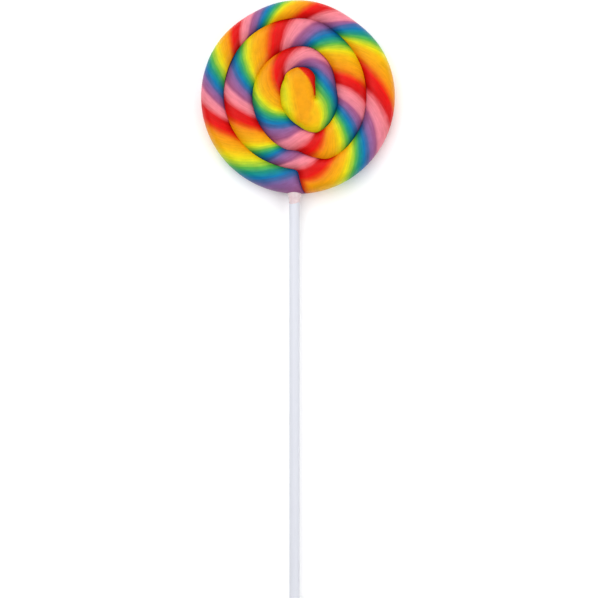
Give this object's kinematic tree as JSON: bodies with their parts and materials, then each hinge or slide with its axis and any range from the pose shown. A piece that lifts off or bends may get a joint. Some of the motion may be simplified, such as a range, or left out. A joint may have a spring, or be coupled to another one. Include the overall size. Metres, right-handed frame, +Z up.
{
  "type": "swirl lollipop",
  "caption": "Flat round swirl lollipop: a rainbow striped candy rope coiled into a disc, on a straight white stick, lying on its back.",
  "frame": {"origin": "on the ground, under the middle of the whole part's box", "axes": "+Z up, out of the shown side; +Y from the stick's foot towards the candy disc; +X to the right"},
  "size_m": [0.076, 0.238, 0.0108],
  "materials": {
    "candy": "satin boiled sugar in rainbow stripes",
    "stick": "smooth white rolled paper"
  },
  "bodies": {
    "root": {"candy": "candy", "stick": "stick"}
  },
  "joints": []
}
